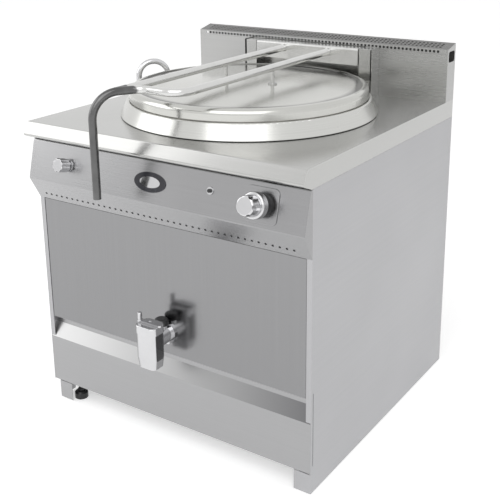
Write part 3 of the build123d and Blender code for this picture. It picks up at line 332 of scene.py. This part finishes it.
def handle_tube(name, colour, grip):
    """Bright drawn tube that turns dark where the handle leaves the arms."""
    finish = Finish(name, colour, 0.2, metallic=1.0)
    cloud = finish.noise(finish.place(), 22.0, detail=3.0)
    bright = mottled(finish, cloud, colour, 0.96, 1.02)
    dark = mottled(finish, cloud, grip, 0.85, 1.2)
    held = finish.spread(finish.along(1), GRIP_END - GRIP_FADE, GRIP_END + GRIP_FADE, 1.0, 0.0)
    finish.set("Base Color", finish.blend(held, bright, dark))
    finish.set("Roughness", finish.spread(cloud, 0.35, 0.75, 0.16, 0.28))
    return finish.material


def moulded(name, colour, roughness):
    """Moulded plastic or enamel with a very fine skin texture."""
    finish = Finish(name, colour, roughness)
    grain = finish.noise(finish.place(), 900.0, detail=2.0)
    dust = finish.noise(finish.place(), 30.0, detail=3.0)
    finish.set("Base Color", mottled(finish, dust, colour, 1.0, 1.5, 0.4, 0.8))
    finish.set("Roughness", finish.spread(dust, 0.3, 0.7, roughness - 0.05, roughness + 0.1))
    finish.raise_by(grain, distance=0.00005, strength=0.3)
    return finish.material


def mineral_wool(name, colour):
    """Tufted mineral wool in flat layers."""
    finish = Finish(name, colour, 0.95)
    tufts = finish.noise(finish.place((1.0, 1.0, 3.0)), 60.0, detail=6.0, roughness=0.7)
    finish.set("Base Color", mottled(finish, tufts, colour, 0.7, 1.15, 0.35, 0.65))
    finish.raise_by(tufts, distance=0.004, strength=0.8)
    return finish.material


def rough_metal(name, colour, roughness, patch):
    """Galvanised, cast or heat-darkened metal with mottled patches."""
    finish = Finish(name, colour, roughness, metallic=1.0)
    mottle = finish.noise(finish.place(), patch, detail=4.0, roughness=0.6)
    finish.set("Base Color", mottled(finish, mottle, colour, 0.8, 1.15, 0.35, 0.65))
    finish.set("Roughness", finish.spread(mottle, 0.3, 0.7, roughness - 0.1, roughness + 0.12))
    finish.raise_by(mottle, distance=0.0003, strength=0.3)
    return finish.material


# ---------------------------------------------------------------- materials, and the nodes that wear them
panel = brushed_steel("panel steel", (0.275, 0.275, 0.28), 0.17, "z")
# apron: the ledge slope's painted reflection, light at the left and dark at the right
apron_steel = folded_steel("apron steel", (0.385, 0.385, 0.39), 0.33, LEDGE_SLOPE,
                           (0.74, 0.74, 0.74), (0.18, 0.18, 0.185))
# fascia: painted reflection, 1.2 times lighter towards its left end
fascia_steel = brushed_steel("fascia steel", (0.35, 0.35, 0.355), 0.26, "x", 1.2)
side_steel = brushed_steel("side steel", (0.44, 0.44, 0.45), 0.38, "y")
top_steel = brushed_steel("worktop steel", (0.50, 0.50, 0.49), 0.22, "x")
# upstand: the last colour is the painted shade inside the flue
rear_steel = flue_steel("upstand steel", (0.45, 0.45, 0.445), (0.15, 0.148, 0.145))
pan_steel = spun_steel("pan steel", (0.70, 0.70, 0.67), 0.20)
# kettle ring: painted shade just above its foot
ring_steel = spun_steel("ring steel", (0.60, 0.60, 0.58), 0.22, foot=RING_FOOT)
# lid: painted shade in the crease and on the rim's outer edge
lid_steel = spun_steel("lid steel", (0.56, 0.56, 0.535), 0.17, crease=LID_CREASE)
# the fourth value of each is the tone of its painted dark edge reflections
tube_steel = plated("drawn tube", (0.60, 0.60, 0.59), 0.16, 0.35)
arm_tube = handle_tube("lid tube", (0.66, 0.66, 0.65), (0.13, 0.13, 0.13))
chrome = plated("chrome", (0.62, 0.62, 0.63), 0.06, 0.16)
# tap: also painted shade past the right face of its column
tap_chrome = plated("tap chrome", (0.62, 0.62, 0.63), 0.08, 0.16, TAP_SHADED_SIDE)
# painted shadow for the vent mouths
vent_shadow_paint = moulded("vent shadow", (0.02, 0.02, 0.021), 0.7)
black_plastic = moulded("black plastic", (0.018, 0.018, 0.019), 0.35)
silicone = moulded("grey silicone", (0.45, 0.44, 0.41), 0.6)
enamel = moulded("dark enamel", (0.022, 0.022, 0.028), 0.2)
zinc = rough_metal("galvanised steel", (0.46, 0.47, 0.48), 0.5, 60.0)
burnt = rough_metal("heat-darkened steel", (0.13, 0.115, 0.10), 0.6, 25.0)
brass = rough_metal("machined brass", (0.62, 0.46, 0.20), 0.3, 90.0)
spring_steel = rough_metal("oiled spring steel", (0.22, 0.22, 0.23), 0.35, 90.0)
wool = mineral_wool("mineral wool", (0.50, 0.46, 0.36))

wear = {
    panel: ["front_panel", "rear_panel"],
    apron_steel: ["apron", "leg_plate"],
    fascia_steel: ["fascia", "knob_bezel"],
    side_steel: ["side_panel_left", "side_panel_right"],
    top_steel: ["worktop", "hinge_housing", "hinge_bearings"],
    rear_steel: ["upstand", "flue_grille"],
    pan_steel: ["vessel", "jacket"],
    ring_steel: ["kettle_ring"],
    lid_steel: ["lid"],
    arm_tube: ["lid_frame"],
    tube_steel: ["lid_posts", "hinge_shaft", "gas_supply_pipe", "gas_feed_pipe", "water_inlet_pipe",
                 "water_feed_pipe", "drain_pipe"],
    tap_chrome: ["tap_body"],
    chrome: ["filling_pipe", "filling_pipe_collar", "tap_plug", "tap_bonnet", "tap_lever", "control_knob",
             "gas_spindle", "water_knob", "water_stem", "water_escutcheon", "igniter"],
    black_plastic: ["foot_front_left", "foot_front_right", "foot_rear_left", "foot_rear_right", "tap_cap",
                    "knob_base_ring", "igniter_button"],
    silicone: ["lid_gasket"],
    enamel: ["badge_plate"],
    zinc: ["base_frame", "side_frame_left", "side_frame_right", "kettle_stand_left", "kettle_stand_right"],
    burnt: ["burner", "burner_shield", "flue_duct"],
    brass: ["relief_valve", "gas_valve", "water_valve", "pilot_assembly"],
    spring_steel: ["hinge_springs"],
    wool: ["jacket_insulation"],
}


def dress(node, material):
    """Gives a CAD node one material, in place of the plain one it came with."""
    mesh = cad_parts[node].data
    mesh.materials.clear()
    mesh.materials.append(material)


for material, names in wear.items():
    for name in names:
        dress(name, material)


# ---------------------------------------------------------------- small fittings
def fitting(name, shape, material, body):
    """Turns a finished bmesh into a piece that rides on a body."""
    bmesh.ops.remove_doubles(shape, verts=shape.verts, dist=0.00001)
    bmesh.ops.recalc_face_normals(shape, faces=shape.faces)
    mesh = bpy.data.meshes.new(name)
    shape.to_mesh(mesh)
    shape.free()
    mesh.materials.append(material)
    piece = bpy.data.objects.new(name, mesh)
    bpy.context.scene.collection.objects.link(piece)
    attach(piece, body)
    return piece


def smooth(piece, angle=35.0):
    """Shades a piece smooth, apart from edges sharper than an angle."""
    piece.data.shade_smooth()
    piece.data.set_sharp_from_angle(angle=math.radians(angle))


def add_disc(shape, radius, depth, matrix, segments=24, rounding=0.0):
    """Adds a short cylinder that stands on the matrix's plane, with its outer rim rounded."""
    made = bmesh.ops.create_cone(shape, cap_ends=True, segments=segments, radius1=radius, radius2=radius,
                                 depth=depth, matrix=matrix @ Matrix.Translation((0, 0, depth / 2)))
    if rounding:
        top = matrix @ Vector((0, 0, depth))
        out = (matrix.to_3x3() @ Vector((0, 0, 1))).normalized()
        rim = [edge for edge in {e for v in made["verts"] for e in v.link_edges}
               if all(abs((v.co - top).dot(out)) < 1e-6 for v in edge.verts)]
        bmesh.ops.bevel(shape, geom=rim, offset=rounding, affect="EDGES", segments=3, profile=0.5,
                        material=-1)


def add_bead(shape, ring, wire, matrix, segments=28):
    """Adds a torus-shaped bead round a tube: a small circle spun about the matrix's z axis."""
    turn = Matrix.Translation((ring, 0, 0)) @ Matrix.Rotation(math.pi / 2, 4, "X")
    made = bmesh.ops.create_circle(shape, segments=8, radius=wire, matrix=matrix @ turn)
    edges = list({edge for vert in made["verts"] for edge in vert.link_edges})
    axis = matrix.to_3x3() @ Vector((0, 0, 1))
    bmesh.ops.spin(shape, geom=made["verts"] + edges, cent=matrix.translation, axis=axis,
                   angle=2 * math.pi, steps=segments, use_merge=True)


def add_coil(shape, start, ring, half_width, length, turns, steps=20):
    """Adds a thin flat strip wound along x round a start point: it begins above it and ends a length on."""
    above = Matrix.Translation(start + Vector((0, 0, ring)))
    made = bmesh.ops.create_circle(shape, cap_ends=True, segments=8, radius=half_width, matrix=above)
    faces = list({face for vert in made["verts"] for face in vert.link_faces})
    edges = list({edge for vert in made["verts"] for edge in vert.link_edges})
    bmesh.ops.spin(shape, geom=made["verts"] + edges + faces, cent=start, axis=(1, 0, 0),
                   dvec=(length / (turns * steps), 0, 0), angle=2 * math.pi * turns,
                   steps=turns * steps, use_merge=False)


def on_fascia(node):
    """Turned frame whose z axis points straight out of the sloping fascia, at a node's middle."""
    lo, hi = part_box(node)
    middle = (Vector(lo) + Vector(hi)) / 2
    lean = math.atan2(FASCIA_RUN, FASCIA_FALL)
    return Matrix.Translation(middle) @ Matrix.Rotation(math.pi / 2 - lean, 4, "X")


FACING_FRONT = Matrix.Rotation(math.pi / 2, 4, "X")
FACING_BACK = Matrix.Rotation(-math.pi / 2, 4, "X")
SIDES = (-1, 1)

# blank field in the oval plate
FIELD_HALF_WIDTH, FIELD_HALF_HEIGHT, FIELD_DEPTH = 0.033, 0.0145, 0.0006
shape = bmesh.new()
lift = Matrix.Translation((0, 0, FIELD_DEPTH))
oval = Matrix.Diagonal((FIELD_HALF_WIDTH, FIELD_HALF_HEIGHT, 1.0, 1.0))
add_disc(shape, 1.0, FIELD_DEPTH, on_fascia("badge_plate") @ lift @ oval, 48)
fitting("badge_field", shape, chrome, CABINET)

# weld beads where the arms meet the hinge cover, and where the posts stand on their feet
ARM_OFFSET, COVER_FRONT, FOOT_RISE = 0.080, 0.022, 0.003
ARM_BEAD, POST_BEAD = (0.0114, 0.0013), (0.0058, 0.0009)
shaft_lo, shaft_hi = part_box("hinge_shaft")
shaft_y = (shaft_lo[1] + shaft_hi[1]) / 2
shaft_z = (shaft_lo[2] + shaft_hi[2]) / 2
post_lo, post_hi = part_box("lid_posts")
post_y = (post_lo[1] + post_hi[1]) / 2
shape = bmesh.new()
for side in SIDES:
    arm_x = side * ARM_OFFSET
    add_bead(shape, *ARM_BEAD, Matrix.Translation((arm_x, shaft_y - COVER_FRONT, shaft_z)) @ FACING_FRONT)
    add_bead(shape, *POST_BEAD, Matrix.Translation((arm_x, post_y, post_lo[2] + FOOT_RISE)))
lid_welds = fitting("lid_welds", shape, tube_steel, LID)
smooth(lid_welds)

# torsion springs: one thin strip wound round each half of the shaft
SPRING_START, SPRING_LENGTH, SPRING_TURNS = 0.103, 0.054, 13
SPRING_RING, STRIP_HALF_WIDTH = 0.0113, 0.0019
shape = bmesh.new()
for side in SIDES:
    start = Vector((side * SPRING_START, shaft_y, shaft_z))
    add_coil(shape, start, SPRING_RING, STRIP_HALF_WIDTH, side * SPRING_LENGTH, SPRING_TURNS)
coil_springs = fitting("coil_springs", shape, spring_steel, CABINET)
smooth(coil_springs, 60.0)
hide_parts("hinge_springs")

# pan-head screws down both edges of the rear panel
SCREW_ROWS, SCREW_INSET, SCREW_END = 4, 0.012, 0.03
SCREW_RADIUS, SCREW_HEAD, SCREW_ROUNDING = 0.0045, 0.0022, 0.0009
rear_lo, rear_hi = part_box("rear_panel")
row_pitch = (rear_hi[2] - rear_lo[2] - 2 * SCREW_END) / (SCREW_ROWS - 1)
shape = bmesh.new()
for row in range(SCREW_ROWS):
    for side in SIDES:
        place = (side * (rear_hi[0] - SCREW_INSET), rear_hi[1], rear_lo[2] + SCREW_END + row * row_pitch)
        seat = Matrix.Translation(place) @ FACING_BACK
        add_disc(shape, SCREW_RADIUS, SCREW_HEAD, seat, 16, SCREW_ROUNDING)
rear_screws = fitting("rear_screws", shape, chrome, CABINET)
smooth(rear_screws)

# dark sealed joint where the plinth's corner meets the right side sheet
JOINT_SIZE = (0.0004, 0.0014, 0.206)
JOINT_OUT, JOINT_BEHIND, JOINT_MIDDLE = 0.00005, 0.010, 0.182
side_lo, side_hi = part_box("side_panel_right")
joint_place = Matrix.Translation((side_hi[0] + JOINT_OUT, side_lo[1] + JOINT_BEHIND, JOINT_MIDDLE))
shape = bmesh.new()
bmesh.ops.create_cube(shape, size=1.0, matrix=joint_place @ Matrix.Diagonal((*JOINT_SIZE, 1.0)))
fitting("corner_joint", shape, black_plastic, CABINET)

# painted shadow: dark discs over the mouths of the row of vents along the fascia's lower lip
VENTS, VENT_PITCH, FIRST_VENT = 42, 0.020, -0.414
VENT_RADIUS, VENT_DEPTH, VENT_OUT, VENT_HEIGHT = 0.0033, 0.0005, 0.01008, 0.6605
facing_lip = Matrix.Rotation(math.pi / 2 + math.atan2(LIP_RUN, LIP_FALL), 4, "X")
shape = bmesh.new()
for vent in range(VENTS):
    place = (FIRST_VENT + VENT_PITCH * vent, FRONT - VENT_OUT, VENT_HEIGHT)
    add_disc(shape, VENT_RADIUS, VENT_DEPTH, Matrix.Translation(place) @ facing_lip, 16)
fitting("painted_vent_shadows", shape, vent_shadow_paint, CABINET)

# small three-cornered plate that closes the ledge at the plinth's left corner
LEDGE_LEFT, END_SHEET = -0.4482, 0.0014
LEDGE_BACK, LEDGE_LIP = 0.020, 0.0018
low, high = LEDGE_SLOPE
shape = bmesh.new()
corners = [shape.verts.new((LEDGE_LEFT, FRONT + run, rise))
           for run, rise in ((LEDGE_BACK, high), (LEDGE_LIP, low), (LEDGE_BACK, low))]
end = bmesh.ops.contextual_create(shape, geom=corners)
sheet = bmesh.ops.extrude_face_region(shape, geom=end["faces"])
bmesh.ops.translate(shape, vec=(END_SHEET, 0, 0),
                    verts=[part for part in sheet["geom"] if isinstance(part, bmesh.types.BMVert)])
fitting("ledge_end", shape, side_steel, CABINET)


# ---------------------------------------------------------------- floor, light and camera
def seen_ray(shading):
    """1 on rays from the camera and on reflected and refracted rays."""
    camera, glossy, refracted = (shading.node("ShaderNodeLightPath", output=f"Is {kind} Ray")
                                 for kind in ("Camera", "Glossy", "Transmission"))
    return camera.larger(glossy).larger(refracted)


FLOOR_REACH, FLOOR_TONE, FLOOR_GLOW = 40.0, 0.85, 0.50
SEEN_STRENGTH, LIGHT_STRENGTH = 1.0, 0.55


def make_floor():
    """Pale floor that is lighter to the eye than as a source of light, and keeps the shadow."""
    mesh = bpy.data.meshes.new("floor")
    shape = bmesh.new()
    bmesh.ops.create_grid(shape, x_segments=1, y_segments=1, size=FLOOR_REACH)
    shape.to_mesh(mesh)
    shape.free()
    floor = bpy.data.objects.new("floor", mesh)
    bpy.context.scene.collection.objects.link(floor)
    finish = Finish("floor", (FLOOR_TONE,) * 3, 0.9, Emission_Strength=FLOOR_GLOW)
    finish.set("Emission Color", finish.blend(seen_ray(finish), (0.0, 0.0, 0.0), (1.0, 1.0, 1.0)))
    mesh.materials.append(finish.material)


def make_world():
    """Even studio surroundings: white to the eye and to reflections, softer as light."""
    world = bpy.data.worlds.new("studio")
    bpy.context.scene.world = world
    world.use_nodes = True
    studio = Shading(world.node_tree)
    white = (1.0, 1.0, 1.0, 1.0)
    seen, light = (studio.node("ShaderNodeBackground", {}, {"Color": white, "Strength": strength})
                   for strength in (SEEN_STRENGTH, LIGHT_STRENGTH))
    mixed = studio.node("ShaderNodeMixShader", {}, {0: seen_ray(studio), 1: light, 2: seen})
    studio.feed(studio.tree.nodes["World Output"], {"Surface": mixed})


def make_lamp(name, place, aim, size, power):
    """Square area lamp at a place, turned towards a point."""
    data = bpy.data.lights.new(name, "AREA")
    data.shape = "SQUARE"
    data.size = size
    data.energy = power
    lamp = bpy.data.objects.new(name, data)
    bpy.context.scene.collection.objects.link(lamp)
    lamp.location = place
    lamp.rotation_euler = (Vector(aim) - Vector(place)).to_track_quat("-Z", "Y").to_euler()


PICTURE_SIZE = 500.0
FOCAL_PIXELS = 905.0
CENTRE_ROW = 164.0
SENSOR_WIDTH = 36.0
CAMERA_PLACE = (1.4312, -2.0812, 1.4573)
CAMERA_YAW, CAMERA_PITCH, CAMERA_ROLL = 33.967, -16.362, -0.653


def make_camera():
    """Camera at the front right, looking down on the worktop, with its lens shifted down."""
    yaw, pitch, roll = (math.radians(angle) for angle in (CAMERA_YAW, CAMERA_PITCH, CAMERA_ROLL))
    data = bpy.data.cameras.new("camera")
    data.sensor_width = SENSOR_WIDTH
    data.lens = FOCAL_PIXELS / PICTURE_SIZE * SENSOR_WIDTH
    data.shift_y = -(PICTURE_SIZE / 2 - CENTRE_ROW) / PICTURE_SIZE
    camera = bpy.data.objects.new("camera", data)
    bpy.context.scene.collection.objects.link(camera)
    ahead = Vector((-math.sin(yaw) * math.cos(pitch), math.cos(yaw) * math.cos(pitch), math.sin(pitch)))
    right = ahead.cross(Vector((0, 0, 1))).normalized()
    up = right.cross(ahead)
    right, up = (right * math.cos(roll) + up * math.sin(roll),
                 up * math.cos(roll) - right * math.sin(roll))
    turn = Matrix((right, up, -ahead)).transposed()
    camera.matrix_world = Matrix.Translation(CAMERA_PLACE) @ turn.to_4x4()
    data.clip_end = 100.0
    bpy.context.scene.camera = camera


LAMP_AIM = (0, 0, 0.6)

make_floor()
make_world()
make_lamp("key", place=(1.5, -3.6, 4.2), aim=LAMP_AIM, size=4.5, power=85.0)
make_lamp("fill", place=(-3.5, -2.0, 2.6), aim=LAMP_AIM, size=3.0, power=36.0)
make_camera()
bpy.context.scene.view_settings.view_transform = "Standard"
